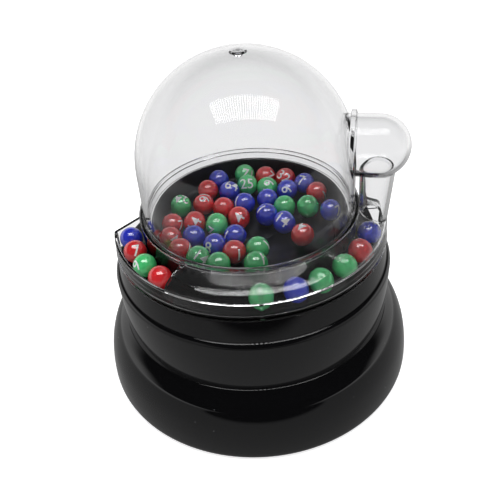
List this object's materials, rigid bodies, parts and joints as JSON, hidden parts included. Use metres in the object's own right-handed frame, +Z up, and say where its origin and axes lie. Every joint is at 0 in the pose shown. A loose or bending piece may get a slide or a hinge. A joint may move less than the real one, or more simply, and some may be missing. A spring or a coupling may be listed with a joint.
{
  "type": "ball drawing machine",
  "caption": "Tabletop ball-drawing machine: round black base, spinning disc in a bowl under a clear dome, side nose and chute to a crescent tray.",
  "frame": {"origin": "on the ground under the dome centre", "axes": "+Z up along the dome and turntable axis, -Y towards the front of the tray, +X towards the side nose"},
  "size_m": [0.1474, 0.1474, 0.1555],
  "materials": {
    "gloss_black": "high gloss moulded black",
    "bowl_black": "satin black",
    "clear": "clear moulded styrene",
    "inner_black": "matte moulded black",
    "white_acetal": "smooth acetal",
    "steel": "ground",
    "brass": "turned sintered bronze",
    "rubber": "matte",
    "cell_jacket": "printed-free dark jacket",
    "red_ball": "glossy",
    "green_ball": "glossy",
    "blue_ball": "glossy"
  },
  "bodies": {
    "base": {"foot_shell": "gloss_black", "drum_shell": "gloss_black", "deck_screws": "steel", "upper_deck": "gloss_black", "bowl": "bowl_black", "upper_bush": "brass", "lower_bush": "brass", "idler_pin": "steel", "motor": "steel", "gear_plate": "inner_black", "plate_screws": "steel", "motor_screws": "steel", "bottom_cover": "inner_black", "cover_screws": "steel", "rubber_feet": "rubber", "battery_box": "inner_black", "batteries": "cell_jacket", "battery_contacts": "steel", "switch_body": "inner_black", "tray": "clear"},
    "rotor": {"turntable": "bowl_black", "drive_shaft": "steel", "shaft_clip": "steel", "drive_gear": "white_acetal", "dome_balls_red": "red_ball", "dome_balls_green": "green_ball", "dome_balls_blue": "blue_ball"},
    "idler": {"idler_gear": "white_acetal"},
    "pinion": {"motor_pinion": "white_acetal", "motor_shaft": "steel"},
    "clear_top": {"dome": "clear", "apex_plug": "clear", "chute_roof": "clear", "drop_chute": "clear", "nose_cap": "clear", "roof_pin": "clear"},
    "open_balls": {"open_balls_red": "red_ball", "open_balls_green": "green_ball", "open_balls_blue": "blue_ball"},
    "roofed_balls": {"roofed_balls_red": "red_ball", "roofed_balls_green": "green_ball", "roofed_balls_blue": "blue_ball"},
    "rocker": {"switch_rocker": "inner_black"},
    "door": {"battery_door": "inner_black"}
  },
  "joints": [
    {"name": "turntable_spin", "type": "hinge", "parent": "base", "child": "rotor", "pos_m": [0, 0, 0.073], "axis": [0, 0, 1], "continuous": true},
    {"name": "idler_spin", "type": "hinge", "parent": "base", "child": "idler", "pos_m": [0.012, 0.02078, 0.06], "axis": [0, 0, 1], "continuous": true},
    {"name": "motor_spin", "type": "hinge", "parent": "base", "child": "pinion", "pos_m": [-0.00314, 0.03385, 0.06], "axis": [0, 0, 1], "continuous": true},
    {"name": "top_lift", "type": "slide", "parent": "base", "child": "clear_top", "axis": [0, 0, 1], "range_m": [0, 0.05]},
    {"name": "open_balls_roll", "type": "hinge", "parent": "base", "child": "open_balls", "pos_m": [0, 0, 0.077], "axis": [0, 0, 1], "range_deg": [0, 18]},
    {"name": "roofed_balls_roll", "type": "hinge", "parent": "base", "child": "roofed_balls", "pos_m": [0, 0, 0.077], "axis": [0, 0, 1], "range_deg": [-18, 6]},
    {"name": "switch_rock", "type": "hinge", "parent": "base", "child": "rocker", "pos_m": [0, 0.0612, 0.046], "axis": [1, 0, 0], "range_deg": [0, 16]},
    {"name": "battery_door_slide", "type": "slide", "parent": "base", "child": "door", "axis": [1, 0, 0], "range_m": [0, 0.009]}
  ],
  "couplings": [
    {"joint": "idler_spin", "follows": "turntable_spin", "ratio": -4},
    {"joint": "motor_spin", "follows": "turntable_spin", "ratio": 16}
  ]
}
